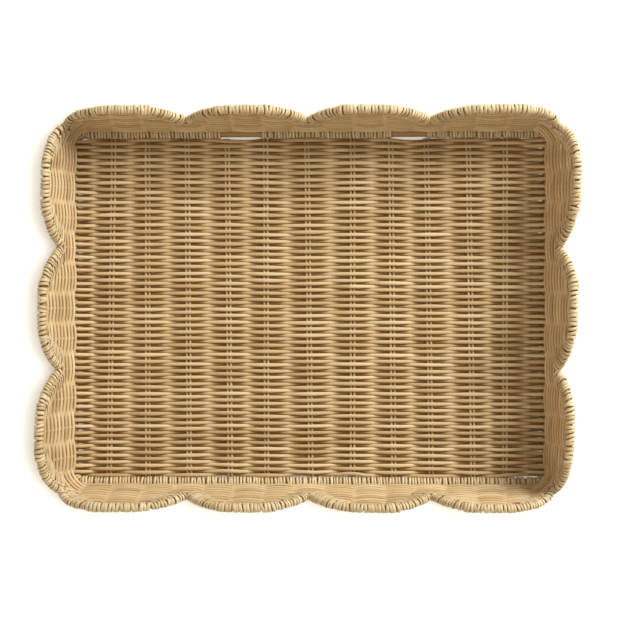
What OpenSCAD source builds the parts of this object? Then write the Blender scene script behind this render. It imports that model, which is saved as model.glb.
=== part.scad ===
// Scalloped rattan serving tray
//
// A bent cane hoop carries a plain-weave floor of round reed on pairs of stakes.
// Flared walls of the same reed stand on the hoop, woven on single stakes, and
// fourteen bound cane arches make the scalloped rim: four on each long side and
// three on each short side.
//
// Millimetres. The origin is under the middle of the tray, on the surface that it
// stands on. X is the long side and Z is up. Strands are drawn as flat-faced bands
// with a small gap to their neighbours, so that each one is a solid of its own.

/* [Hoop] */
// Half length of the hoop, along X, to the middle of the cane
hoop_half_x = 227.5; // [150:0.5:300]
// Half width of the hoop, along Y, to the middle of the cane
hoop_half_y = 168.2; // [100:0.2:250]
// Corner radius of the hoop, to the middle of the cane
hoop_corner = 14; // [8:1:40]
// Thickness of the hoop's cane
hoop_d = 7; // [5:0.5:12]
// Outer diameter of the binding on the front and back of the hoop
hoop_binding_d = 9.6; // [8:0.1:14]
// Spacing of the turns that bind the front and back of the hoop
hoop_turn_pitch = 3.2; // [2.6:0.1:6]

/* [Floor] */
// Thickness of the stakes
stake_d = 3; // [2:0.1:5]
// Spacing of the pairs of floor stakes
pair_pitch = 38.2; // [25:0.1:60]
// Distance between the two stakes of a pair
pair_gap = 3.9; // [3.2:0.1:8]
// Spacing of the woven rows
row_pitch = 3.13; // [2.8:0.01:6]
// Number of woven rows
rows = 104; // [10:1:104]
// Width of a woven reed
reed_w = 2.9; // [2:0.1:5]
// Thickness of a woven reed
reed_t = 2.7; // [1.6:0.1:4]

/* [Walls] */
// Outward lean of the front and back, in mm for each mm of height
long_flare = 0.207; // [0:0.001:0.6]
// Distance of the front and back outside the middle of the hoop, at the floor
long_out = 2.5; // [0:0.1:12]
// Outward lean of the two ends, in mm for each mm of height
short_flare = 0.328; // [0:0.001:0.6]
// Distance of the two ends outside the middle of the hoop, at the floor
short_out = -3.2; // [-4:0.1:12]
// Height at which the lowest course starts
wall_foot = 13.2; // [13:0.1:20]
// Spacing of the courses
course_pitch = 2.95; // [2.6:0.05:5]
// Height of a course
course_h = 2.75; // [2:0.05:4.5]
// Thickness of a course, through the wall
course_t = 2.4; // [1.6:0.1:4]
// Number of courses that run the whole length of a side
full_courses = 9; // [3:1:12]

/* [Rim] */
// Height of the arches at their crowns, to the middle of the cane
crown_z = 71.5; // [50:0.5:120]
// Height at which neighbouring arches would meet
valley_z = 37; // [30:0.5:60]
// Thickness of the arches' cane
arch_d = 5; // [4:0.5:10]
// Outer diameter of the binding on an arch's slopes
binding_d = 8.2; // [6.5:0.1:14]
// Outer diameter of the binding on an arch's crown
crown_binding_d = 9; // [6.5:0.1:14]
// Spacing of the turns of the binding
turn_pitch = 3.7; // [3:0.1:6]
// Half width of the middle arch of a short side
short_middle = 58; // [40:0.5:80]

/* [Hidden] */
gap = 0.1;
floor_z = hoop_d / 2 + gap + reed_t;       // lowest reeds rest on the table
half_x = hoop_half_x - hoop_corner;        // straight part of each side
half_y = hoop_half_y - hoop_corner;
valley_r = hoop_corner + (lean(0, valley_z) + lean(1, valley_z)) / 2;
half_bend = valley_r * PI / 4;             // from a straight part to the corner post
floor_crest = stake_d / 2 + gap + reed_t / 2;
hoop_crest = hoop_d / 2 + gap + reed_t / 2;
wall_crest = 0.56 * stake_d + max(long_flare, short_flare) * course_h / 2 + gap + course_t / 2;
crest_flat = 4;                            // half length of the flat over a stake
arch_clear = crown_binding_d / 2 + 0.4;
arch_steps = 16;
arch_sides = 8;

// Sides are numbered front, right, back, left. Each one is drawn as the front and
// turned into place. Places along a side are measured from its middle to the corner
// posts, round the corners at the height of the valleys.
function is_long(side) = side % 2 == 0;
function straight(side) = is_long(side) ? half_x : half_y;
function reach(side) = straight(side) + half_bend;
function depth(side) = is_long(side) ? half_y : half_x;
function valleys(side) = let (end = reach(side))
    is_long(side) ? [-end, -end / 2, 0, end / 2, end] : [-end, -short_middle, short_middle, end];

// How far out a wall is at a height. Round a corner it turns into the next wall's.
function lean(side, z) = is_long(side)
    ? long_out + long_flare * (z - floor_z) : short_out + short_flare * (z - floor_z);
function out_at(side, s, z) = let (k = abs(bend(side, s)) / 90)
    (1 - k) * lean(side, z) + k * lean(side + 1, z);

// Outward direction at a place, and the point there at a distance out from the hoop
function bend(side, s) = sign(s) * max(0, abs(s) - straight(side)) * 180 / (PI * valley_r);
function outward(side, s) = [sin(bend(side, s)), -cos(bend(side, s))];
function place(side, s, out) =
    [max(-straight(side), min(straight(side), s)), -depth(side)]
    + (hoop_corner + out) * outward(side, s);
function at_height(side, s, z) = let (p = place(side, s, out_at(side, s, z))) [p[0], p[1], z];

// Four spaces between stakes in each scallop, with a stake at every valley
function stakes(side) = let (v = valleys(side))
    [for (i = [0:len(v) - 2], q = [0:3]) v[i] + q / 4 * (v[i + 1] - v[i])];

// Height of the arches: a flat-topped curve between two valleys, u from 0 to 1
function arch_height(u) = valley_z + (crown_z - valley_z) * (1 - pow(abs(2 * u - 1), 3));
function arch_point(side, n, u) = let (v = valleys(side))
    at_height(side, v[n] + u * (v[n + 1] - v[n]), arch_height(u));
function arch_dir(side, n, u) =
    let (d = arch_point(side, n, u + 0.002) - arch_point(side, n, u - 0.002)) d / norm(d);

// Table of u against the length along an arch
function arch_lengths(side, n, from, to, count = 60) = let (step = (to - from) / count)
    [for (i = 0, l = 0; i <= count;
        l = l + norm(arch_point(side, n, from + (i + 1) * step) - arch_point(side, n, from + i * step)),
        i = i + 1) [l, from + i * step]];

// Room below an arch: its height less the binding, measured square to the slope
function under_arch(u, width) =
    let (slope = 6 * (crown_z - valley_z) / width * pow(2 * u - 1, 2) * sign(0.5 - u),
         tilt = atan(slope))
    [u * width + arch_clear * sin(tilt), arch_height(u) - arch_clear * cos(tilt)];
function room(width, z) = lookup(z, [for (i = [4:50]) let (p = under_arch(i / 100, width)) [p[1], p[0]]]);

// The line of a course: in and out of the stakes in turn, as [place, distance] pairs
function crests(side, course) = let (all = concat(stakes(side), [reach(side)]))
    [for (i = [0:len(all) - 1], e = [-1, 1])
        [all[i] + e * crest_flat, wall_crest * ((i + course) % 2 == 0 ? 1 : -1)]];
function marks(side) = let (inner = stakes(side), end = reach(side), from = straight(side))
    concat([-end + crest_flat, -from - 9, -from - 4.5, -from],
        [for (i = [1:len(inner) - 1], e = [-1, 1]) inner[i] + e * crest_flat],
        [from, from + 4.5, from + 9, end - crest_flat]);

module course(side, number, from, to) {
    z = wall_foot + number * course_pitch;
    mid = z + course_h / 2;
    line = crests(side, number);
    at = concat([from], [for (m = marks(side)) if (m > from + 0.5 && m < to - 0.5) m], [to]);
    translate([0, 0, z])
        linear_extrude(course_h)
            polygon(concat(
                [for (s = at) place(side, s, out_at(side, s, mid) + lookup(s, line) + course_t / 2)],
                [for (i = [len(at) - 1:-1:0]) let (s = at[i])
                    place(side, s, out_at(side, s, mid) + lookup(s, line) - course_t / 2)]));
}

module rod(from, to, d) {
    along = to - from;
    translate(from)
        rotate([0, acos(along[2] / norm(along)), atan2(along[1], along[0])])
            cylinder(d = d, h = norm(along), $fn = 32);
}

module turn_of_binding(at, dir, inner_d, outer_d, width) {
    translate(at)
        rotate([0, acos(dir[2]), atan2(dir[1], dir[0])])
            rotate_extrude($fn = 32)
                translate([inner_d / 2, -width / 2])
                    square([(outer_d - inner_d) / 2, width]);
}

module on_side(side) rotate(90 * side) children();

// Hoop of bent cane round the floor
module base_hoop() color("#c9a874") {
    for (side = [0:3]) on_side(side) {
        translate([-straight(side), -depth(side) - hoop_corner, floor_z])
            rotate([0, 90, 0]) cylinder(d = hoop_d, h = 2 * straight(side), $fn = 48);
        translate([straight(side), -depth(side), floor_z])
            rotate(-90) rotate_extrude(angle = 90, $fn = 96)
                translate([hoop_corner, 0]) circle(d = hoop_d, $fn = 48);
    }
}

// Turns of split cane round the front or back of the hoop
module hoop_binding(side) color("#d9bd8c") {
    count = floor((half_x - 6) / hoop_turn_pitch);
    on_side(side) for (i = [-count:count])
        turn_of_binding([i * hoop_turn_pitch, -hoop_half_y, floor_z], [1, 0, 0],
            hoop_d + 2 * gap, hoop_binding_d, hoop_turn_pitch - 0.5);
}

// One pair of floor stakes, counted from the left
module floor_stake_pair(number) color("#cdb07e") {
    x = (number - 6) * pair_pitch;
    y = hoop_half_y - hoop_binding_d / 2 - 2 * gap;
    for (e = [-0.5, 0.5])
        rod([x + e * pair_gap, -y, floor_z], [x + e * pair_gap, y, floor_z], stake_d);
}

// Every other row of the floor, over and under the stake pairs and the hoop
module floor_weavers(odd) color("#e0c698") {
    over = odd == 1 ? 1 : -1;
    crossings = concat([-hoop_half_x], [for (k = [-5:5]) k * pair_pitch], [hoop_half_x]);
    line = [for (i = [0:len(crossings) - 1], e = [-1, 1])
        [crossings[i] + e * (i % 12 == 0 ? 4.5 : crest_flat),
         over * (i % 2 == 0 ? 1 : -1) * (i % 12 == 0 ? hoop_crest : floor_crest)]];
    for (row = [odd:2:rows - 1])
        translate([0, (row - (rows - 1) / 2) * row_pitch + reed_w / 2, floor_z])
            rotate([90, 0, 0])
                linear_extrude(reed_w)
                    polygon(concat([for (p = line) p + [0, reed_t / 2]],
                        [for (i = [len(line) - 1:-1:0]) line[i] - [0, reed_t / 2]]));
}

// Upright stakes of one side, between the corner posts. Those of the front and back
// stand on the hoop's binding, and those of the ends on the reeds over the hoop.
module wall_stakes(side) color("#cdb07e") {
    v = valleys(side);
    foot = is_long(side) ? floor_z + hoop_binding_d / 2 + gap : wall_foot;
    on_side(side) for (n = [0:len(v) - 2], q = [n == 0 ? 1 : 0:3]) {
        s = v[n] + q / 4 * (v[n + 1] - v[n]);
        slope = 6 * (crown_z - valley_z) / (v[n + 1] - v[n]) * pow(q / 2 - 1, 2);
        top = q == 0 ? valley_z + 5 : arch_height(q / 4) - arch_clear * sqrt(1 + slope * slope);
        rod(at_height(side, s, foot), at_height(side, s, top), stake_d);
    }
}

// One stake at each corner
module corner_posts() color("#cdb07e") {
    for (side = [0:3]) on_side(side)
        rod(at_height(side, reach(side), wall_foot),
            at_height(side, reach(side), valley_z + 5), stake_d);
}

// Courses of one side: whole ones first, joined behind the last stakes before the
// corners, then short ones up into the scallops
module wall_weave(side) color("#e0c698") {
    end = reach(side) - 0.2;
    v = valleys(side);
    join = stakes(side)[len(stakes(side)) - 1];
    on_side(side) {
        for (c = [0:full_courses - 1]) {
            course(side, c, -end, -join - 0.15);
            course(side, c, 0.15 - join, join - 0.15);
            course(side, c, join + 0.15, end);
        }
        for (n = [0:len(v) - 2]) {
            width = v[n + 1] - v[n];
            last = floor((crown_z - arch_clear - course_h - wall_foot) / course_pitch);
            for (c = [full_courses:last]) {
                inset = room(width, wall_foot + c * course_pitch + course_h);
                course(side, c, v[n] + inset, v[n + 1] - inset);
            }
        }
    }
}

// One cane arch of the rim, counted anticlockwise along its side
module rim_arch(side, number) color("#c9a874") {
    trim = 3.2 / (valleys(side)[number] - valleys(side)[number - 1]);
    at = [for (i = [0:arch_steps]) let (t = i / arch_steps, e = t + 0.11 * sin(360 * t) / PI)
        trim + (1 - 2 * trim) * (2 * t - e)];
    points = [for (u = at, a = [0:arch_sides - 1])
        let (p = arch_point(side, number - 1, u), d = arch_dir(side, number - 1, u),
             v = valleys(side), o = outward(side, v[number - 1] + u * (v[number] - v[number - 1])),
             flat = [o[0], o[1], 0] - ([o[0], o[1], 0] * d) * d, across = flat / norm(flat),
             up = cross(d, across), turn = (a + 0.5) * 360 / arch_sides)
        p + arch_d / 2 * (cos(turn) * across + sin(turn) * up)];
    last = len(points) - arch_sides;
    on_side(side) polyhedron(points, concat(
        [[for (a = [0:arch_sides - 1]) a]],
        [for (i = [0:arch_steps - 1], a = [0:arch_sides - 1])
            let (b = (a + 1) % arch_sides, here = i * arch_sides, next = here + arch_sides)
            [here + a, next + a, next + b, here + b]],
        [[for (a = [arch_sides - 1:-1:0]) last + a]]));
}

// The binding of one arch, turn by turn, fatter over the crown
module rim_binding(side, number) color("#d9bd8c") {
    v = valleys(side);
    from = 5.4 / (v[number] - v[number - 1]);
    lengths = arch_lengths(side, number - 1, from, 1 - from);
    total = lengths[len(lengths) - 1][0];
    count = floor(total / turn_pitch);
    on_side(side) for (i = [0:count]) {
        u = lookup(i * total / count, lengths);
        turn_of_binding(arch_point(side, number - 1, u), arch_dir(side, number - 1, u),
            arch_d + 2 * gap, abs(u - 0.5) < 0.24 ? crown_binding_d : binding_d,
            total / count - 0.5);
    }
}

base_hoop();
hoop_binding(0);  // hoop_binding_front
hoop_binding(2);  // hoop_binding_back
floor_stake_pair(1);  // floor_stake_pair_1
floor_stake_pair(2);  // floor_stake_pair_2
floor_stake_pair(3);  // floor_stake_pair_3
floor_stake_pair(4);  // floor_stake_pair_4
floor_stake_pair(5);  // floor_stake_pair_5
floor_stake_pair(6);  // floor_stake_pair_6
floor_stake_pair(7);  // floor_stake_pair_7
floor_stake_pair(8);  // floor_stake_pair_8
floor_stake_pair(9);  // floor_stake_pair_9
floor_stake_pair(10);  // floor_stake_pair_10
floor_stake_pair(11);  // floor_stake_pair_11
floor_weavers(0);  // floor_weavers_a
floor_weavers(1);  // floor_weavers_b
wall_stakes(0);  // wall_stakes_front
wall_stakes(1);  // wall_stakes_right
wall_stakes(2);  // wall_stakes_back
wall_stakes(3);  // wall_stakes_left
corner_posts();
wall_weave(0);  // wall_weave_front
wall_weave(1);  // wall_weave_right
wall_weave(2);  // wall_weave_back
wall_weave(3);  // wall_weave_left
rim_arch(0, 1);  // rim_arch_front_1
rim_arch(0, 2);  // rim_arch_front_2
rim_arch(0, 3);  // rim_arch_front_3
rim_arch(0, 4);  // rim_arch_front_4
rim_arch(1, 1);  // rim_arch_right_1
rim_arch(1, 2);  // rim_arch_right_2
rim_arch(1, 3);  // rim_arch_right_3
rim_arch(2, 1);  // rim_arch_back_1
rim_arch(2, 2);  // rim_arch_back_2
rim_arch(2, 3);  // rim_arch_back_3
rim_arch(2, 4);  // rim_arch_back_4
rim_arch(3, 1);  // rim_arch_left_1
rim_arch(3, 2);  // rim_arch_left_2
rim_arch(3, 3);  // rim_arch_left_3
rim_binding(0, 1);  // rim_binding_front_1
rim_binding(0, 2);  // rim_binding_front_2
rim_binding(0, 3);  // rim_binding_front_3
rim_binding(0, 4);  // rim_binding_front_4
rim_binding(1, 1);  // rim_binding_right_1
rim_binding(1, 2);  // rim_binding_right_2
rim_binding(1, 3);  // rim_binding_right_3
rim_binding(2, 1);  // rim_binding_back_1
rim_binding(2, 2);  // rim_binding_back_2
rim_binding(2, 3);  // rim_binding_back_3
rim_binding(2, 4);  // rim_binding_back_4
rim_binding(3, 1);  // rim_binding_left_1
rim_binding(3, 2);  // rim_binding_left_2
rim_binding(3, 3);  // rim_binding_left_3
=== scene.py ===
import bpy
import numpy as np
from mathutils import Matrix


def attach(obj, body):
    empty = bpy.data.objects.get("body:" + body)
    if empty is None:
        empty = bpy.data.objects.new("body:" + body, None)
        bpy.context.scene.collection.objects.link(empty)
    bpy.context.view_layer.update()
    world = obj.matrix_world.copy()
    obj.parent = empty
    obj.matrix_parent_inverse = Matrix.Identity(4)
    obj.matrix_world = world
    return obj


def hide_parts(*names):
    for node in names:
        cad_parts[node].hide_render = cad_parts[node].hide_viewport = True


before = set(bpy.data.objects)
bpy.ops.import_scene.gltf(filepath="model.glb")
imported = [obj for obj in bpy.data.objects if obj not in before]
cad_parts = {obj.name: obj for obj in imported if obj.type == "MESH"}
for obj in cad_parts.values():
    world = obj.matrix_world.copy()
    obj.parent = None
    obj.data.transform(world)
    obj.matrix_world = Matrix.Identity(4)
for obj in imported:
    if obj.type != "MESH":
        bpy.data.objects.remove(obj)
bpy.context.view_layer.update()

# Everything is worked out in millimetres and written to the meshes in metres.
# Sides count front, right, back, left, and each is drawn as the front, then turned.
tray = {
    "hoopX": 227.5, "hoopY": 168.2, "corner": 14.0, "poleCorner": 9.0, "hoopRadius": 3.5, "floorZ": 6.3,
    "longOut": 1.5, "longFlare": 0.2224, "shortOut": -3.2, "shortFlare": 0.328,
    "crownZ": 71.5, "valleyZ": 37.0, "shortMiddle": 58.0, "stakeSpaces": 4,
    "pairPitch": 38.2, "pairGap": 3.4, "stakeRadius": 1.38,
    "pairShift": (-1, -4, -3, -2, -4, -1, 3, 3, 0, 2, -3),   # pairs given one by one: along X, left to right
    "pairSlant": (5, 0, -2, -3, -1, -4, 0, -3, -5, -5, 0),   # and from front to back
    "endSkew": 0.026,   # the ends flare a little more at one corner than at the other,
    "skewFrom": 130.0, "skewOver": 90.0,   # from here on along X, growing over this length
}
rng = np.random.default_rng(7)


def linearColour(hexText, alpha=1.0):
    # sRGB hex to linear colour
    c = np.array([int(hexText[i:i + 2], 16) for i in (1, 3, 5)]) / 255
    c = np.where(c <= 0.04045, c / 12.92, ((c + 0.055) / 1.055) ** 2.4)
    return (*[float(v) for v in c], alpha)


def unit(v):
    return v / np.linalg.norm(v, axis=-1, keepdims=True)


def ease(t):
    # smooth step from 0 to 1
    t = np.clip(t, 0, 1)
    return t * t * (3 - 2 * t)


def wander(length, size, step, count=1):
    # Smooth noise along a strand: a few sine waves of random phase, count rows of them, scaled so
    # that most of it stays within the size.
    phase = rng.uniform(0, 2 * np.pi, (count, 4, 1))
    turns = np.array([1.0, 1.9, 3.1, 4.7])[None, :, None] / step
    weight = np.array([1.0, 0.7, 0.45, 0.3])[None, :, None]
    return size * (weight * np.sin(2 * np.pi * turns * length[None, None, :] + phase)).sum(axis=1) / 1.6


strand = {
    "girth": np.pi * 2.9,      # length round a reed, for the grain
    "grainStarts": 4000.0,     # each strand's grain starts somewhere within this length
    "sideShade": 0.45, "waveSideShade": 0.25, "sinkSoft": 0.7,   # how the hollows' shade comes on
}


def tubes(paths, face, wide, thick, sides=8, closed=False, tone=None, rise=None):
    # An ellipse carried along each path: point = path + wide cos a across + thick sin a face,
    # where face is turned square to the path and across is square to both. rise says how far each
    # point stands proud on its face side, from 1 down to -1, and is used to shade the hollows.
    paths = np.asarray(paths, float)
    count, steps = paths.shape[:2]
    if closed:
        along = unit(np.roll(paths, -1, axis=1) - np.roll(paths, 1, axis=1))
    else:
        along = unit(np.gradient(paths, axis=1))
    face = np.broadcast_to(face, paths.shape)
    up = unit(face - (face * along).sum(-1, keepdims=True) * along)
    across = np.cross(along, up)
    a = 2 * np.pi * (np.arange(sides) + 0.5) / sides
    wide = np.broadcast_to(wide, (count, steps))[..., None, None]
    thick = np.broadcast_to(thick, (count, steps))[..., None, None]
    points = (paths[:, :, None] + wide * np.cos(a)[:, None] * across[:, :, None]
              + thick * np.sin(a)[:, None] * up[:, :, None])
    index = np.arange(count * steps * sides).reshape(count, steps, sides)
    after = np.roll(index, -1, axis=1) if closed else index[:, 1:]
    here = index if closed else index[:, :-1]
    quads = np.stack([here, after, np.roll(after, -1, axis=2), np.roll(here, -1, axis=2)], axis=-1)
    length = np.linalg.norm(np.diff(paths, axis=1, append=paths[:, :1]), axis=-1)
    length = np.concatenate([np.zeros((count, 1)), np.cumsum(length, axis=1)], axis=1)
    length = length + rng.uniform(0, strand["grainStarts"], (count, 1))
    step = strand["girth"] / sides
    u0, u1 = length[:, :here.shape[1], None], length[:, 1:here.shape[1] + 1, None]
    v0 = step * np.arange(sides)[None, None] + np.zeros_like(u0)
    u0, u1 = u0 + np.zeros_like(v0), u1 + np.zeros_like(v0)
    v1 = v0 + step
    uv = np.stack([u0, v0, u1, v0, u1, v1, u0, v1], axis=-1).reshape(-1, 4, 2)
    caps = np.zeros((0, sides), int)
    if not closed:
        caps = np.concatenate([index[:, 0], index[:, -1, ::-1]])
    if tone is None:
        tone = rng.uniform(0, 1, (count, 1))
    tone = np.broadcast_to(np.broadcast_to(tone, (count, steps))[..., None], (count, steps, sides))
    # painted shade: the sides of each strand, and its sunk parts where rise is given, are marked to be
    # darkened
    hollow = strand["sideShade"] * np.cos(a) ** 2 + np.zeros((count, steps, sides))
    if rise is not None:
        sunk = -np.broadcast_to(rise, (count, steps))[..., None] * np.sin(a)
        hollow = np.clip(ease(sunk / strand["sinkSoft"]) + strand["waveSideShade"] * np.cos(a) ** 2, 0, 1)
    return {"points": points.reshape(-1, 3), "quads": quads.reshape(-1, 4), "uv": uv,
            "caps": caps, "tone": tone.reshape(-1), "hollow": hollow.reshape(-1)}


def handMade(p):
    # the ends' uneven flare: X moves with Y, more towards the rim and only near the ends
    k = np.clip((p[:, 2] - tray["floorZ"]) / (tray["crownZ"] - tray["floorZ"]), 0, 1)
    moved = p.copy()
    skew = ease((np.abs(p[:, 0]) - tray["skewFrom"]) / tray["skewOver"])
    moved[:, 0] += tray["endSkew"] * k * p[:, 1] * skew
    return moved


def makePiece(name, parts, material, nodes):
    # one mesh from several sets of tubes, with the grain's UV map and a tone for each strand
    points = handMade(np.concatenate([part["points"] for part in parts]))
    starts = np.cumsum([0] + [len(part["points"]) for part in parts])
    quads = np.concatenate([part["quads"] + s for part, s in zip(parts, starts)])
    uv = np.concatenate([part["uv"].reshape(-1, 2) for part in parts])
    capLoops = [part["caps"] + s for part, s in zip(parts, starts) if len(part["caps"])]
    capSizes = [np.full(len(c), c.shape[1]) for c in capLoops]
    capLoops = np.concatenate([c.reshape(-1) for c in capLoops]) if capLoops else np.zeros(0, int)
    sizes = np.concatenate([np.full(len(quads), 4)] + capSizes)
    loops = np.concatenate([quads.reshape(-1), capLoops])
    uv = np.concatenate([uv, np.zeros((len(capLoops), 2))])
    mesh = bpy.data.meshes.new(name)
    mesh.vertices.add(len(points))
    mesh.vertices.foreach_set("co", (points * 0.001).reshape(-1))
    mesh.loops.add(len(loops))
    mesh.loops.foreach_set("vertex_index", loops.astype(np.int32))
    mesh.polygons.add(len(sizes))
    mesh.polygons.foreach_set("loop_start", (np.cumsum(sizes) - sizes).astype(np.int32))
    mesh.polygons.foreach_set("use_smooth", np.ones(len(sizes), bool))
    layer = mesh.uv_layers.new(name="grain")
    layer.data.foreach_set("uv", uv.astype(np.float32).reshape(-1))
    for label in ("tone", "hollow"):
        values = mesh.attributes.new(label, "FLOAT", "POINT")
        values.data.foreach_set("value", np.concatenate([part[label] for part in parts]).astype(np.float32))
    mesh.update(calc_edges=True)
    mesh.validate()
    mesh.materials.append(material)
    piece = bpy.data.objects.new(name, mesh)
    bpy.context.scene.collection.objects.link(piece)
    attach(piece, "root")
    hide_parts(*nodes)
    return piece


def addNode(tree, kind, settings=None, links=None):
    # a node with its settings and what is linked into it
    node = tree.nodes.new(kind)
    for key, value in (settings or {}).items():
        if isinstance(key, int) or key in node.inputs:
            node.inputs[key].default_value = value
        else:
            setattr(node, key, value)
    for key, socket in (links or {}).items():
        tree.links.new(socket, node.inputs[key])
    return node


grainLook = {
    "fibres": (0.05, 2.8, 1.0),        # about 20 mm long and 0.36 mm apart
    "bands": (0.025, 0.12, 1.0),       # slow changes, 40 mm long and 8 mm wide
    "patches": 20.0,                   # 50 mm across
    "fibreShare": 0.32, "bandShare": 0.45, "patchShare": 0.25,
    "darkAt": 0.12, "middleAt": 0.5, "paleAt": 0.85,
    "bump": 0.5, "bumpDeep": 0.00012,  # half of 0.12 mm, for the fibres
}


def rattan(name, dark, middle, pale, hollowShadeColour, tones, roughness):
    # Peeled rattan reed, sanded and left dry: long fibres, slow changes of colour along
    # each strand, and a faint satin on the rounds.
    material = bpy.data.materials.new(name)
    material.use_nodes = True
    tree = material.node_tree
    tree.nodes.clear()
    grain = addNode(tree, "ShaderNodeUVMap", {"uv_map": "grain"})
    tone = addNode(tree, "ShaderNodeAttribute", {"attribute_name": "tone"})
    hollow = addNode(tree, "ShaderNodeAttribute", {"attribute_name": "hollow"})
    space = addNode(tree, "ShaderNodeTexCoord")
    fibre = addNode(tree, "ShaderNodeMapping", {"Scale": grainLook["fibres"]}, {"Vector": grain.outputs[0]})
    fibres = addNode(tree, "ShaderNodeTexNoise", {"Scale": 1.0, "Detail": 3.0, "Roughness": 0.6},
                     {"Vector": fibre.outputs[0]})
    slow = addNode(tree, "ShaderNodeMapping", {"Scale": grainLook["bands"]}, {"Vector": grain.outputs[0]})
    bands = addNode(tree, "ShaderNodeTexNoise", {"Scale": 1.0, "Detail": 2.0, "Roughness": 0.5},
                    {"Vector": slow.outputs[0]})
    patches = addNode(tree, "ShaderNodeTexNoise", {"Scale": grainLook["patches"], "Detail": 2.0},
                      {"Vector": space.outputs["Object"]})
    # added up: the strand's own tone, then a share of each pattern, then back to around the middle
    toned = addNode(tree, "ShaderNodeMath", {"operation": "MULTIPLY_ADD", 1: tones, 2: 0.5 - tones / 2},
                    {0: tone.outputs["Fac"]})
    banded = addNode(tree, "ShaderNodeMath", {"operation": "MULTIPLY_ADD", 1: grainLook["bandShare"]},
                     {0: bands.outputs["Fac"], 2: toned.outputs[0]})
    fibred = addNode(tree, "ShaderNodeMath", {"operation": "MULTIPLY_ADD", 1: grainLook["fibreShare"]},
                     {0: fibres.outputs["Fac"], 2: banded.outputs[0]})
    patched = addNode(tree, "ShaderNodeMath", {"operation": "MULTIPLY_ADD", 1: grainLook["patchShare"]},
                      {0: patches.outputs["Fac"], 2: fibred.outputs[0]})
    shares = grainLook["bandShare"] + grainLook["fibreShare"] + grainLook["patchShare"]
    shade = addNode(tree, "ShaderNodeMath", {"operation": "SUBTRACT", 1: shares / 2},
                    {0: patched.outputs[0]})
    ramp = addNode(tree, "ShaderNodeValToRGB", None, {"Fac": shade.outputs[0]})
    ramp.color_ramp.elements[0].position = grainLook["darkAt"]
    ramp.color_ramp.elements[0].color = linearColour(dark)
    ramp.color_ramp.elements[1].position = grainLook["paleAt"]
    ramp.color_ramp.elements[1].color = linearColour(pale)
    ramp.color_ramp.elements.new(grainLook["middleAt"]).color = linearColour(middle)
    # painted shade: the hollows between strands and the sides of each strand are darkened and browned by
    # multiplying with the hollow shade colour
    hollowShaded = addNode(tree, "ShaderNodeMix", {"data_type": "RGBA", "blend_type": "MULTIPLY"},
                      {0: hollow.outputs["Fac"], 6: ramp.outputs[0]})
    hollowShaded.inputs[7].default_value = linearColour(hollowShadeColour)
    raised = {"Strength": grainLook["bump"], "Distance": grainLook["bumpDeep"]}
    bump = addNode(tree, "ShaderNodeBump", raised, {"Height": fibres.outputs["Fac"]})
    shader = addNode(tree, "ShaderNodeBsdfPrincipled", {"Roughness": roughness, "IOR": 1.5},
                     {"Base Color": hollowShaded.outputs[2], "Normal": bump.outputs[0]})
    addNode(tree, "ShaderNodeOutputMaterial", None, {"Surface": shader.outputs[0]})
    return material


# dark, middle and pale tones, the painted shade colour for the hollows, how far strands differ, and
# roughness
finishes = {
    # peeled core reed, pale and dry, with a faint satin on its rounds
    "peeled_reed_woven": ("#b09063", "#cdb186", "#dfcaa3", "#decb9a", 0.42, 0.55),
    # the same reed as straight stakes, with darker tones as painted shade where they lie in the weave
    "peeled_reed_stakes": ("#a88a60", "#caae84", "#dcc49b", "#cbb06f", 0.4, 0.55),
    # strips split from the cane, paler and smoother than the reed
    "split_cane_binding": ("#b79a6c", "#d0ba92", "#e4d4b4", "#c4a878", 0.35, 0.5),
    # whole cane, steamed and bent, the brownest of them
    "bent_rattan_pole": ("#85623a", "#ab8657", "#c5a274", "#c4a673", 0.3, 0.5),
}
wovenReed, stakeReed, splitCane, poleCane = [rattan(name, *finish) for name, finish in finishes.items()]

print("materials ready")


def isLong(side):
    return side % 2 == 0


straightPart = [tray["hoopX"] - tray["corner"], tray["hoopY"] - tray["corner"]]   # half lengths


def lean(side, z):
    # how far the wall stands outside the hoop's middle at a height
    if isLong(side):
        return tray["longOut"] + tray["longFlare"] * (z - tray["floorZ"])
    return tray["shortOut"] + tray["shortFlare"] * (z - tray["floorZ"])


# the wall turns the corner on this radius, the mean of both sides' at the valleys' height
valleyRadius = tray["corner"] + (lean(0, tray["valleyZ"]) + lean(1, tray["valleyZ"])) / 2


def reach(side):
    # a side's end: half of its straight part and of the corner's turn
    return straightPart[side % 2] + valleyRadius * np.pi / 4


def valleys(side):
    # the places along a side where its scallops meet
    end = reach(side)
    if isLong(side):
        return np.array([-end, -end / 2, 0, end / 2, end])
    return np.array([-end, -tray["shortMiddle"], tray["shortMiddle"], end])


def stakePlaces(side):
    # each scallop's stakes stand an equal space apart
    v = valleys(side)
    spaces = tray["stakeSpaces"]
    return np.append((v[:-1, None] + np.diff(v)[:, None] * np.arange(spaces) / spaces).reshape(-1), v[-1])


def sideTurn(side):
    # turns the front into this side
    c, s = round(np.cos(side * np.pi / 2)), round(np.sin(side * np.pi / 2))
    return np.array([[c, s, 0], [-s, c, 0], [0, 0, 1.0]])


def onWall(side, s, z, extra=0.0):
    # Point and outward direction at place s along a side and height z: straight to the
    # corner's centre, then round it, with the lean turning into the next wall's.
    s, z = np.broadcast_arrays(np.asarray(s, float), np.asarray(z, float))
    inner = np.clip(s, -straightPart[side % 2], straightPart[side % 2])
    bend = (s - inner) / valleyRadius
    k = np.abs(bend) / (np.pi / 2)
    out = tray["corner"] + (1 - k) * lean(side, z) + k * lean(side + 1, z) + extra
    normal = np.stack([np.sin(bend), -np.cos(bend), np.zeros_like(bend)], axis=-1)
    point = np.stack([inner, np.full_like(inner, -straightPart[(side + 1) % 2]), z], axis=-1)
    point = point + out[..., None] * normal
    return point @ sideTurn(side), normal @ sideTurn(side)


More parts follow.
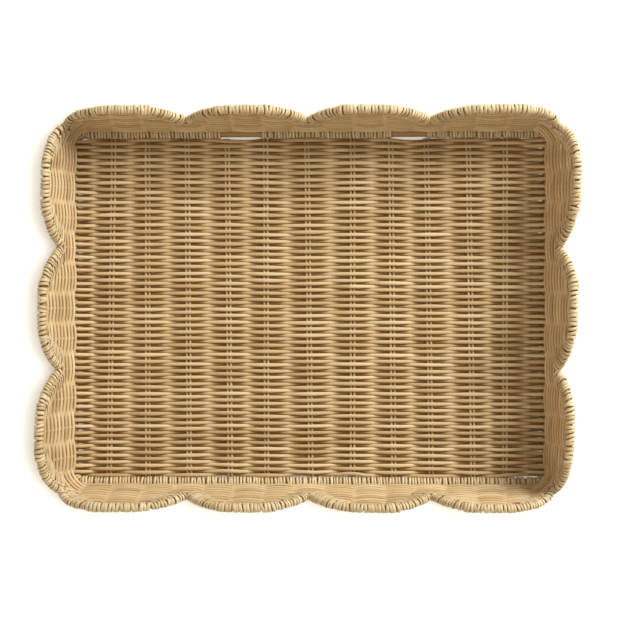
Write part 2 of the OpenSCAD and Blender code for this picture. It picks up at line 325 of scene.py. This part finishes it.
def archHeight(u):
    # a scallop's height at u from 0 to 1 across it, falling from its crown by the cube of the distance
    return tray["valleyZ"] + (tray["crownZ"] - tray["valleyZ"]) * (1 - np.abs(2 * u - 1) ** 3)


def weaveShape(t, sharp):
    # from 1 to -1 over one space between stakes: a cosine with its crests flattened
    c = np.cos(np.pi * t)
    return c * np.sqrt((1 + sharp) / (c * c + sharp))


sideNames = ["front", "right", "back", "left"]
straightUp = np.array([0.0, 0.0, 1.0])

floorWeave = {
    "rows": 104, "pitch": 3.13, "crest": 2.4, "hoopCrest": 4.95, "samples": 12, "sharp": 8.0,
    "wideCrest": 1.93, "wideCross": 1.72, "thickCrest": 1.35, "thickCross": 1.4,
    "crestSpread": (0.88, 1.06), "widthSpread": (0.88, 1.07), "endWidth": 0.94,
    "wobble": 0.12, "wobbleStep": 260, "drift": 0.5, "driftStep": 330,
    "nudge": 0.19, "endNudge": 0.38, "endNudgeMost": 0.9,
    "edgeFrom": 42, "edgeOver": 9,                     # rows from the middle that count as edge rows,
    "spill": 0.6, "bow": 0.5, "bowStep": 170,          # which lie further out and bow in here and there
    "looseFrom": 49.5, "looseOver": 2, "looseBy": 1.2,     # the last rows stand off the hoop in places:
    "looseBack": ((-67, 20), (96, 17), (216, 12), (-218, 8)),   # middle and half width along X
    "looseFront": ((-78, 12), (-10, 10), (38, 9), (205, 20)),
    "joinsWithin": 1.6,    # a new reed may start along a row; past 1, the row is one reed
    "hoopSteps": 5,
}
pairCount = len(tray["pairShift"])
crossingCount = pairCount + 2


def pairPlace(k, y):
    # middle of pair k, counted from the left, at a place across the tray
    even = (k - pairCount // 2) * tray["pairPitch"]
    return even + tray["pairShift"][k] + tray["pairSlant"][k] * y / (2 * tray["hoopY"])


# the whole weave wanders a little, differently at the front and at the back
line = np.linspace(-tray["hoopX"], tray["hoopX"], (crossingCount - 1) * floorWeave["samples"] + 1)
floorDrift = wander(line, floorWeave["drift"], floorWeave["driftStep"], 2)
floorDrift *= 1 - (line / tray["hoopX"]) ** 4


def floorRows(parity):
    # Rows along X: height above the floor's middle is the weave's shape times the crest at
    # each crossing. The ends go round the hoop to meet the next row.
    w = floorWeave
    rows = np.arange(parity, w["rows"], 2)
    middle = (w["rows"] - 1) / 2
    count = len(rows)
    ends = [0, -1]
    rowY = ((rows - middle) * w["pitch"])[:, None]
    crossings = np.concatenate([rowY * 0 - tray["hoopX"]] + [pairPlace(k, rowY) for k in range(pairCount)]
                               + [rowY * 0 + tray["hoopX"]], axis=1)
    crest = w["crest"] * rng.uniform(*w["crestSpread"], (count, crossingCount))
    crest[:, ends] = w["hoopCrest"]
    breadth = rng.uniform(*w["widthSpread"], (count, crossingCount))
    nudge = rng.normal(0, w["nudge"], (count, crossingCount))
    most = w["endNudgeMost"]
    nudge[:, ends] = np.clip(rng.normal(0, w["endNudge"], (count, 2)), -most, most)
    breadth[:, ends] *= w["endWidth"]

    def between(values):
        # from one crossing's value to the next, eased, one row of samples for each row
        steps = values[:, :-1, None] + np.diff(values, axis=1)[..., None] * ease(t)
        return np.concatenate([steps.reshape(count, -1), values[:, -1:]], axis=1)

    t = np.arange(w["samples"]) / w["samples"]
    x = crossings[:, :-1, None] + np.diff(crossings, axis=1)[..., None] * t
    x = np.concatenate([x.reshape(count, -1), crossings[:, -1:]], axis=1)
    shape = np.where(np.arange(crossingCount - 1) % 2 == 0, 1, -1)[:, None] * weaveShape(t, w["sharp"])
    shape = np.append(shape.reshape(-1), 1.0)
    over = 1.0 if parity else -1.0
    edge = np.clip((np.abs(rows - middle) - w["edgeFrom"]) / w["edgeOver"], 0, 1)[:, None]
    y = rowY + between(nudge) + wander(line, w["wobble"], w["wobbleStep"], count)
    y = y + (rows[:, None] * floorDrift[0] + (w["rows"] - rows[:, None]) * floorDrift[1]) / w["rows"]
    bow = np.clip(wander(line, 1, w["bowStep"], count), 0, 1) * w["bow"]
    y = y + np.sign(rowY) * edge * (w["spill"] - bow)
    for sign, places in ((1, w["looseBack"]), (-1, w["looseFront"])):
        slack = sum(np.exp(-((line - middleX) / halfWidth) ** 4) for middleX, halfWidth in places)
        last = np.clip((sign * (rows - middle) - w["looseFrom"]) / w["looseOver"], 0, 1)[:, None]
        y = y - sign * w["looseBy"] * last * slack
    z = tray["floorZ"] + over * shape * between(crest)
    up = np.abs(shape)
    wide = w["wideCross"] + (w["wideCrest"] * between(breadth) - w["wideCross"]) * up ** 2
    thick = w["thickCross"] + (w["thickCrest"] - w["thickCross"]) * up ** 2 + 0 * y
    paths = np.stack([x, y, z], axis=-1)
    # turns round the hoop at both ends, each half way to the row that it joins
    bends = np.arange(1, w["hoopSteps"] + 1) / w["hoopSteps"]
    turn = np.radians(90 - 90 * bends)
    leads = []
    for end, shift in ((1, -1 if parity else 1), (-1, 1 if parity else -1)):
        tip = paths[:, -1 if end == 1 else 0][:, None] + np.zeros((1, len(bends), 1))
        tip[..., 0] = end * (tray["hoopX"] + w["hoopCrest"] * np.cos(turn))
        loose = nudge[:, -1 if end == 1 else 0, None]
        tip[..., 1] += (shift * 0.5 * w["pitch"] - loose) * ease(bends)
        tip[..., 2] = tray["floorZ"] + over * w["hoopCrest"] * np.sin(turn)
        leads.append(tip if end == 1 else tip[:, ::-1])
    paths = np.concatenate([leads[1], paths, leads[0]], axis=1)
    extra = (len(bends), len(bends))
    wide, thick = (np.pad(v, ((0, 0), extra), mode="edge") for v in (wide, thick))
    level = np.zeros_like(paths)
    level[..., 2] = over
    outward = np.zeros_like(paths)
    outward[..., 0] = np.sign(paths[..., 0])
    beyond = np.clip((np.abs(paths[..., 0]) - tray["hoopX"]) / w["hoopCrest"], 0, 1)[..., None]
    face = (1 - beyond) * level + beyond * outward
    tone = rng.uniform(0, 1, (count, 1))
    other = rng.uniform(0, 1, (count, 1))
    joins = rng.uniform(-w["joinsWithin"], w["joinsWithin"], (count, 1)) * tray["hoopX"]
    tone = np.where(paths[..., 0] > joins, other, tone)
    rise = np.pad(shape, extra, mode="edge")[None]
    return tubes(paths, face, wide, thick, tone=tone, rise=rise)


makePiece("floor_reeds_a", [floorRows(0)], wovenReed, ["floor_weavers_a"])
makePiece("floor_reeds_b", [floorRows(1)], wovenReed, ["floor_weavers_b"])

floorStakes = {
    "reach": 163.0, "steps": 40, "sideways": 0.15, "sidewaysStep": 120, "level": 0.08, "levelStep": 90,
}

for number in range(1, pairCount + 1):
    f = floorStakes
    y = np.linspace(-f["reach"], f["reach"], f["steps"])
    paths = []
    for hand in (-1, 1):
        x = pairPlace(number - 1, y) + hand * tray["pairGap"] / 2
        x = x + wander(y, f["sideways"], f["sidewaysStep"])[0]
        z = tray["floorZ"] + wander(y, f["level"], f["levelStep"])[0]
        paths.append(np.stack([x, y, z], axis=-1))
    stakes = tubes(paths, straightUp, tray["stakeRadius"], tray["stakeRadius"])
    makePiece("floor_stakes_%d" % number, [stakes], stakeReed,
              ["floor_stake_pair_%d" % number])

print("floor woven")

hoop = {
    "turnPitch": 3.0, "bindWide": 1.4, "bindThick": 0.75, "reachOut": 2.0, "lift": 1.5, "lastTurn": 72,
    "jitter": 0.25, "widthJitter": 0.15, "slant": 0.25, "slantSpread": 0.35,
    "looseMost": 0.9, "looseSkew": 1.3, "flatBelow": 0.12, "sink": 0.9, "steps": 18,
}


def hoopLine(side, s):
    # point and outward direction at place s along a side of the hoop, round its corners too
    spare = tray["corner"] - tray["poleCorner"]
    half = straightPart[side % 2] + spare
    inner = np.clip(s, -half, half)
    bend = (s - inner) / tray["poleCorner"]
    normal = np.stack([np.sin(bend), -np.cos(bend), 0 * bend], axis=-1)
    away = straightPart[(side + 1) % 2] + spare
    middle = np.stack([inner, 0 * s - away, 0 * s + tray["floorZ"]], axis=-1)
    return (middle + tray["poleCorner"] * normal) @ sideTurn(side), normal @ sideTurn(side)


poles = []
for side in range(4):
    half = straightPart[side % 2] + tray["corner"] - tray["poleCorner"]
    bend = half + tray["poleCorner"] * np.radians(np.arange(10, 90, 10))
    poles.append(hoopLine(side, np.concatenate([np.linspace(-half, half, 40), bend]))[0])
poleWide = tray["hoopRadius"]
pole = tubes(np.concatenate(poles)[None], straightUp, poleWide, poleWide, sides=12, closed=True)
makePiece("hoop_pole", [pole], poleCane, ["base_hoop"])

for side in (0, 2):
    # Each turn is an oval round the hoop and the wall's foot. Its inner half is a circle, and its
    # outer half is pushed out and up by the cosine of the angle.
    end = straightPart[0] + tray["corner"] - tray["poleCorner"]
    end = end + tray["poleCorner"] * np.radians(hoop["lastTurn"])
    count = int(end / hoop["turnPitch"])
    jitter = rng.uniform(-hoop["jitter"], hoop["jitter"], 2 * count + 1)
    places = (np.arange(-count, count + 1) + jitter) * hoop["turnPitch"]
    if side == 2:
        # the binding has gaps at the first two places where the floor stands off the back of the hoop
        for middleX, halfWidth in floorWeave["looseBack"][:2]:
            places = places[np.abs(places + middleX) > halfWidth]
    angle = np.linspace(0, 2 * np.pi, hoop["steps"], endpoint=False)
    outer = np.clip(np.cos(angle), 0, 1)
    loose = rng.uniform(0.0, hoop["looseMost"], (len(places), 1)) ** hoop["looseSkew"]
    radius = tray["hoopRadius"] + hoop["bindThick"] * hoop["sink"] + loose
    slant = rng.normal(hoop["slant"], hoop["slantSpread"], (len(places), 1))
    middle, normal = hoopLine(side, places[:, None] + slant * np.cos(angle))
    level = radius * np.cos(angle) + hoop["reachOut"] * outer
    height = radius * np.sin(angle) * (1 - hoop["flatBelow"] * (np.sin(angle) < 0)) + hoop["lift"] * outer
    paths = middle + level[..., None] * normal + height[..., None] * straightUp
    face = np.cos(angle)[:, None] * normal + np.sin(angle)[:, None] * straightUp
    wide = hoop["bindWide"] + rng.uniform(-hoop["widthJitter"], hoop["widthJitter"], (len(places), 1))
    bind = tubes(paths, face, wide, hoop["bindThick"], sides=6, closed=True)
    name = sideNames[side]
    makePiece("hoop_turns_" + name, [bind], splitCane, ["hoop_binding_" + name])

print("hoop bound")

wallWeave = {
    "foot": 13.2, "pitch": 2.95, "half": 1.375, "full": 9, "last": 18,
    "crest": 1.45, "samples": 10, "sharp": 3.0,
    "wideCrest": 1.93, "wideCross": 1.84, "thickCrest": 1.6, "thickCross": 1.4, "sizeSpread": (0.9, 1.04),
    "wobble": 0.2, "wobbleStep": 300, "rippleStep": 45, "shortStep": 160,
    "waveSpread": 0.12, "waveStep": 90, "shade": 0.4,
    "footReach": 9.0, "footWave": 0.5, "footSteps": 200,
    # courses inside a scallop: how far below the arch and inside its line they end, and fade out
    "under": 0.5, "endInset": 0.5, "endWave": 0.15, "endEase": 7.0, "topWave": 0.4, "shortSteps": 48,
    "stakeFoot": 11.0, "stakeTop": 1.0, "stakeSteps": 14,
    "postRadius": 1.7, "postTop": 1.0, "postSteps": 12,
}


def courseHeight(course):
    return wallWeave["foot"] + wallWeave["half"] + course * wallWeave["pitch"]


def courseWave(side, s, course):
    # in and out of the stakes in turn
    places = stakePlaces(side)
    i = np.clip(np.searchsorted(places, s, side="right") - 1, 0, len(places) - 2)
    t = (s - places[i]) / (places[i + 1] - places[i])
    return np.where((i + course) % 2 == 0, 1.0, -1.0) * weaveShape(t, wallWeave["sharp"])


def courseTubes(points, normals, wave, closed):
    # strands of a course: the guide moved in and out by the wave
    w = wallWeave
    up = np.abs(wave) ** 2
    size = rng.uniform(*w["sizeSpread"], (len(points), 1))
    wide = size * (w["wideCross"] + (w["wideCrest"] - w["wideCross"]) * up)
    thick = size * (w["thickCross"] + (w["thickCrest"] - w["thickCross"]) * up)
    paths = points + (w["crest"] * wave)[..., None] * normals
    return tubes(paths, normals, wide, thick, closed=closed, rise=w["shade"] * wave)


fullPoints, fullNormals, fullWaves = [], [], []
for course in range(wallWeave["full"]):
    points, normals, waves = [], [], []
    for side in range(4):
        places = stakePlaces(side)
        t = np.arange(wallWeave["samples"]) / wallWeave["samples"]
        s = (places[:-1, None] + np.diff(places)[:, None] * t).reshape(-1)
        p, normal = onWall(side, s, courseHeight(course))
        points.append(p)
        normals.append(normal)
        waves.append(courseWave(side, s, course))
    fullPoints.append(np.concatenate(points))
    fullNormals.append(np.concatenate(normals))
    fullWaves.append(np.concatenate(waves))
fullPoints, fullNormals, fullWaves = np.array(fullPoints), np.array(fullNormals), np.array(fullWaves)
roundLine = np.arange(fullPoints.shape[1]) * 2.9   # about the length gone round the tray
fullPoints[..., 2] += wander(roundLine, wallWeave["wobble"], wallWeave["wobbleStep"], wallWeave["full"])
fullPoints[..., 2] += wander(roundLine, wallWeave["wobble"] / 2, wallWeave["rippleStep"], wallWeave["full"])
fullWaves *= 1 + wander(roundLine, wallWeave["waveSpread"], wallWeave["waveStep"], wallWeave["full"])
makePiece("wall_courses", [courseTubes(fullPoints, fullNormals, fullWaves, True)], wovenReed,
          ["wall_weave_" + name for name in sideNames])

for side in range(4):
    w = wallWeave
    v = valleys(side)
    name = sideNames[side]
    parts = []
    if isLong(side):
        # the foot course of a long side is bound in with the hoop
        end = straightPart[0] + w["footReach"]
        s = np.linspace(-end, end, w["footSteps"])
        p, normal = onWall(side, s, courseHeight(-1))
        wave = w["footWave"] * courseWave(side, s, 1)
        parts.append(courseTubes(p[None], normal[None], wave[None], False))
    for n in range(len(v) - 1):
        width = v[n + 1] - v[n]
        for course in range(w["full"], w["last"] + 1):
            z = courseHeight(course)
            u = np.linspace(0, 0.5, 200)
            inset = float(np.interp(z - w["under"], archHeight(u), u)) * width + w["endInset"]
            s = np.linspace(v[n] + inset, v[n + 1] - inset, w["shortSteps"])
            p, normal = onWall(side, s, z)
            p[:, 2] += wander(s, w["wobble"], w["shortStep"])[0]
            fromEnd = np.minimum(s - s[0], s[-1] - s)
            wave = courseWave(side, s, course) * ease(fromEnd / w["endEase"] + w["endWave"])
            if course == w["last"]:
                wave = wave * w["topWave"]   # the top course lies close under the rim
            parts.append(courseTubes(p[None], normal[None], wave[None], False))
    makePiece("scallop_courses_" + name, parts, wovenReed, ["wall_weave_" + name])

    # upright stakes of this side
    parts = []
    for n in range(len(v) - 1):
        for u in np.arange(tray["stakeSpaces"]) / tray["stakeSpaces"]:
            if n == 0 and u == 0:
                continue   # a corner post stands here
            s = v[n] + u * (v[n + 1] - v[n])
            z = np.linspace(w["stakeFoot"], archHeight(u) - w["stakeTop"], w["stakeSteps"])
            p, normal = onWall(side, s, z)
            parts.append(tubes(p[None], normal[None], tray["stakeRadius"], tray["stakeRadius"]))
    makePiece("wall_stakes_set_" + name, parts, stakeReed, ["wall_stakes_" + name])

parts = []
for side in range(4):
    z = np.linspace(wallWeave["stakeFoot"], tray["valleyZ"] + wallWeave["postTop"], wallWeave["postSteps"])
    p, normal = onWall(side, reach(side), z)
    parts.append(tubes(p[None], normal[None], wallWeave["postRadius"], wallWeave["postRadius"]))
makePiece("corner_stakes", parts, stakeReed, ["corner_posts"])

print("walls woven")

rim = {
    "core": 2.2, "steps": 401, "coreStep": 5, "coreSkip": 5, "coreSkipCorner": 2,
    "cornerLift": 6.0, "cornerOut": 2.0, "bare": 4.2, "bareCorner": 0.3,
    # fat turns over the crowns; bare is the stretch without turns at an arch's end
    "crownFrom": 0.265, "crownTo": 0.735, "crownPitch": 3.3, "endCrownPitch": 3.9, "crownJitter": 0.16,
    "crownWide": 1.85, "crownThick": 0.75, "crownRadius": 3.85, "crownSlant": (0.3, 0.55),
    "crownSize": (-0.35, 0.1), "knotSize": 0.7, "knotWide": 2.0, "crownSteps": 18,
    # thinner turns on the slopes, with tails down the inside
    "slopePitch": 3.1, "slopeJitter": 0.25, "slopeWide": 1.42, "slopeThick": 0.85, "slopeRadius": 3.05,
    "slopeSlant": (0.5, 0.35), "slopeSize": (-0.1, 0.55), "slopeWidth": (0.85, 1.08),
    "slopeFrom": -110, "slopeTo": 205, "slopeSteps": 16, "tailSteps": 8,
    "tail": 16.0, "tailLength": (0.6, 1.0), "tailStart": 1.3, "tailDrop": 4.0,
    "tailOut": 2.9, "tailBelly": 0.5, "tailTuck": 1.6, "tailTaper": 0.6,
    # how far each crown leans towards the next, as a part of its scallop's width, by side
    "crownLean": ((0.0, 0.0, 0.05, 0.05), (0.0, 0.0, 0.05), (-0.03, 0.03, 0.0, 0.0), (-0.05, 0.0, 0.0)),
}


def archLine(side, n, u):
    # place along the side, height, point and outward direction along scallop n's arch
    v = valleys(side)
    height = archHeight(u - rim["crownLean"][side][n] * np.sin(np.pi * u) ** 2)
    place = v[n] + u * (v[n + 1] - v[n])
    # the ends that meet at a corner of the tray stand higher and a little further out
    atCorner = (u < 0.5) * (n == 0) + (u > 0.5) * (n == len(v) - 2)
    near = atCorner * np.abs(2 * u - 1) ** 5
    height = height + rim["cornerLift"] * near
    return place, height, *onWall(side, place, height, rim["cornerOut"] * near)


def spread(start, end, pitch, jitter):
    # places about a pitch apart that fill a stretch exactly
    count = int(round((end - start) / pitch))
    return start + (np.arange(count) + 0.5 + rng.uniform(-jitter, jitter, count)) * (end - start) / count


def rimArch(side, n):
    u = np.linspace(0.0, 1.0, rim["steps"])
    place, height, p, normal = archLine(side, n, u)
    along = unit(np.gradient(p, axis=0))
    out = unit(normal - (normal * along).sum(-1, keepdims=True) * along)
    up = np.cross(out, along)
    length = np.concatenate([[0], np.cumsum(np.linalg.norm(np.diff(p, axis=0), axis=1))])
    atCorner = np.array([n == 0, n == len(valleys(side)) - 2])
    bare = np.where(atCorner, rim["bareCorner"], rim["bare"])
    skip = np.where(atCorner, rim["coreSkipCorner"], rim["coreSkip"])
    inside = slice(skip[0], -skip[1], rim["coreStep"])
    core = tubes(p[inside][None], out[inside][None], rim["core"], rim["core"])

    def at(places, values):
        values = values.reshape(len(u), -1)
        return np.stack([np.interp(places, length, values[:, j]) for j in range(values.shape[1])], axis=-1)

    # Fat turns over the crown: plain rings square to the arch, middle + radius (cos a out + sin a up).
    # A few near one end stand higher, where the strand was started.
    a, b = np.interp([rim["crownFrom"], rim["crownTo"]], u, length)
    pitch = rim["crownPitch"] if isLong(side) else rim["endCrownPitch"]
    places = spread(a, b, pitch, rim["crownJitter"])
    angle = np.linspace(0, 2 * np.pi, rim["crownSteps"], endpoint=False)
    knot = np.abs(np.arange(len(places)) - rng.choice([1.0, len(places) - 2.0])) / rim["knotWide"]
    size = rng.uniform(*rim["crownSize"], len(places)) + rim["knotSize"] * np.exp(-knot ** 2)
    radius = rim["crownRadius"] + size[:, None, None]
    slant = rng.normal(*rim["crownSlant"], (len(places), 1, 1))
    c, d = np.cos(angle)[:, None], np.sin(angle)[:, None]
    ring = c * at(places, out)[:, None] + d * at(places, up)[:, None]
    paths = at(places, p)[:, None] + radius * ring + slant * c * at(places, along)[:, None]
    wide = rim["crownWide"] + rng.uniform(*rim["crownSize"], (len(places), 1))
    fat = tubes(paths, ring, wide, rim["crownThick"], closed=True)

    # Turns on the slopes: from under the outside, over the top and down the inside, then a tail
    # along the wall's inner face towards the middle of the scallop, its end tucked in.
    first = spread(bare[0], a, rim["slopePitch"], rim["slopeJitter"])
    last = spread(b, length[-1] - bare[1], rim["slopePitch"], rim["slopeJitter"])
    places = np.concatenate([first, last])
    count = len(places)
    towards = np.where(np.arange(count) < len(first), 1.0, -1.0)[:, None]
    angle = np.radians(np.linspace(rim["slopeFrom"], rim["slopeTo"], rim["slopeSteps"]))[:, None]
    # about half of the turns are loose ones
    loose = rng.uniform(*rim["slopeSize"], (count, 1, 1)) * rng.integers(0, 2, (count, 1, 1))
    radius = rim["slopeRadius"] + loose
    slant = (towards * rng.normal(*rim["slopeSlant"], (count, 1)))[..., None]
    ring = np.cos(angle) * at(places, out)[:, None] + np.sin(angle) * at(places, up)[:, None]
    loop = at(places, p)[:, None] + radius * ring - slant * np.cos(angle) * at(places, along)[:, None]
    t = np.linspace(0, 1, rim["tailSteps"] + 1)[1:]
    tail = rim["tail"] * rng.uniform(*rim["tailLength"], (count, 1))
    s = at(places, place) + towards * (tail * t ** 1.5 + slant[..., 0])
    z = at(places, height) - rim["tailStart"] - rim["tailDrop"] * t * (2 - t)
    extra = -rim["tailOut"] - rim["tailBelly"] * np.sin(np.pi * t) + rim["tailTuck"] * t ** 3
    swing, swingNormal = onWall(side, s, z, extra)
    paths = np.concatenate([loop, swing], axis=1)
    face = np.concatenate([ring, -swingNormal], axis=1)
    taper = np.concatenate([np.ones(len(angle)), np.linspace(1, rim["tailTaper"], len(t))])
    wide = rim["slopeWide"] * taper * rng.uniform(*rim["slopeWidth"], (count, 1))
    thin = tubes(paths, face, wide, rim["slopeThick"] * taper)
    return core, [fat, thin]


for side in range(4):
    for n in range(len(valleys(side)) - 1):
        label = "%s_%d" % (sideNames[side], n + 1)
        core, turns = rimArch(side, n)
        makePiece("arch_pole_" + label, [core], poleCane, ["rim_arch_" + label])
        makePiece("arch_turns_" + label, turns, splitCane, ["rim_binding_" + label])

print("rim bound")

studio = {
    "keyFrom": (0.675, 0.53, 0.505), "keySize": 1.4, "keyPower": 84.0, "keyColour": (0.97, 1.0, 0.99),
    "fillFrom": (-0.55, -0.65, 0.30), "fillSize": 2.0, "fillPower": 15.0, "fillColour": (1.0, 0.87, 0.70),
    "tableFrom": (0.22, 0.03, 0.97), "tableSize": 1.0, "tablePower": 60.0,
    "tableLightColour": (0.97, 1.0, 0.99),
    "away": 2.5, "skyColour": (1.0, 0.91, 0.77, 1), "skyStrength": 0.51,
    "tableAcross": 40, "tableColour": "#f7f7f5", "tableRoughness": 0.9, "tableGlow": 0.12,
    "coveredColour": "#8a7458", "coveredFrom": -0.0085, "coveredTo": 0.001,   # metres from the hoop's line
}

bpy.ops.mesh.primitive_plane_add(size=studio["tableAcross"])
table = bpy.context.object
table.name = "white_table"
tableMaterial = bpy.data.materials.new("white_table")
tableMaterial.use_nodes = True
tableTree = tableMaterial.node_tree
shader = tableTree.nodes["Principled BSDF"]
shader.inputs["Roughness"].default_value = studio["tableRoughness"]
shader.inputs["Emission Strength"].default_value = studio["tableGlow"]
# The part of the table that the tray covers gets next to no light and is shaded as such: the
# larger of |x| - half length and |y| - half width says how far outside the hoop a point lies.
place = addNode(tableTree, "ShaderNodeTexCoord")
axes = addNode(tableTree, "ShaderNodeSeparateXYZ", None, {0: place.outputs["Object"]})
outside = []
for axis, half in (("X", tray["hoopX"]), ("Y", tray["hoopY"])):
    size = addNode(tableTree, "ShaderNodeMath", {"operation": "ABSOLUTE"}, {0: axes.outputs[axis]})
    outside.append(addNode(tableTree, "ShaderNodeMath", {"operation": "SUBTRACT", 1: half * 0.001},
                           {0: size.outputs[0]}))
edge = addNode(tableTree, "ShaderNodeMath", {"operation": "MAXIMUM"},
               {0: outside[0].outputs[0], 1: outside[1].outputs[0]})
limits = {"From Min": studio["coveredFrom"], "From Max": studio["coveredTo"]}
uncovered = addNode(tableTree, "ShaderNodeMapRange", limits, {"Value": edge.outputs[0]})
tableColour = addNode(tableTree, "ShaderNodeMix", {"data_type": "RGBA"}, {0: uncovered.outputs[0]})
tableColour.inputs[6].default_value = linearColour(studio["coveredColour"])
tableColour.inputs[7].default_value = linearColour(studio["tableColour"])
for socketName in ("Base Color", "Emission Color"):
    tableTree.links.new(tableColour.outputs[2], shader.inputs[socketName])
table.data.materials.append(tableMaterial)


def discLight(name, towards, size, power, colour, tableState):
    # a round softbox; its light group takes the table in or leaves it out
    towards = unit(np.array(towards))
    light = bpy.data.objects.new(name, bpy.data.lights.new(name, "AREA"))
    light.data.shape = "DISK"
    light.data.size = size
    light.data.energy = power
    light.data.color = colour
    light.location = towards * studio["away"]
    light.rotation_euler = light.location.to_track_quat("Z", "Y").to_euler()
    bpy.context.scene.collection.objects.link(light)
    group = bpy.data.collections.new(name + "_group")
    group.objects.link(table)
    light.light_linking.receiver_collection = group
    group.collection_objects[0].light_linking.link_state = tableState


# the tray's key and fill lights leave the table alone, and the table has its own from nearly above
discLight("key_light", studio["keyFrom"], studio["keySize"], studio["keyPower"], studio["keyColour"],
          "EXCLUDE")
discLight("fill_light", studio["fillFrom"], studio["fillSize"], studio["fillPower"], studio["fillColour"],
          "EXCLUDE")
discLight("table_light", studio["tableFrom"], studio["tableSize"], studio["tablePower"],
          studio["tableLightColour"], "INCLUDE")

world = bpy.data.worlds.new("soft_room")
world.use_nodes = True
world.node_tree.nodes["Background"].inputs["Color"].default_value = studio["skyColour"]
world.node_tree.nodes["Background"].inputs["Strength"].default_value = studio["skyStrength"]
bpy.context.scene.world = world

view = {"lens": 89.941935, "sensor": 36.0, "from": (0.060, 0.020, 1.5), "at": (0.030, 0.010, 0.0),
        "shiftX": -0.050, "shiftY": -0.0203, "clipEnd": 20.0}

camera = bpy.data.objects.new("camera", bpy.data.cameras.new("camera"))
camera.data.sensor_width = view["sensor"]
camera.data.lens = view["lens"]
camera.location = view["from"]
aim = np.array(view["at"]) - np.array(camera.location)
camera.rotation_euler = (float(np.arctan2(aim[1], -aim[2])), float(np.arctan2(-aim[0], -aim[2])), 0.0)
camera.data.shift_x = view["shiftX"]
camera.data.shift_y = view["shiftY"]
camera.data.clip_end = view["clipEnd"]
bpy.context.scene.collection.objects.link(camera)
bpy.context.scene.camera = camera
bpy.context.scene.view_settings.view_transform = "Standard"

print("studio set")
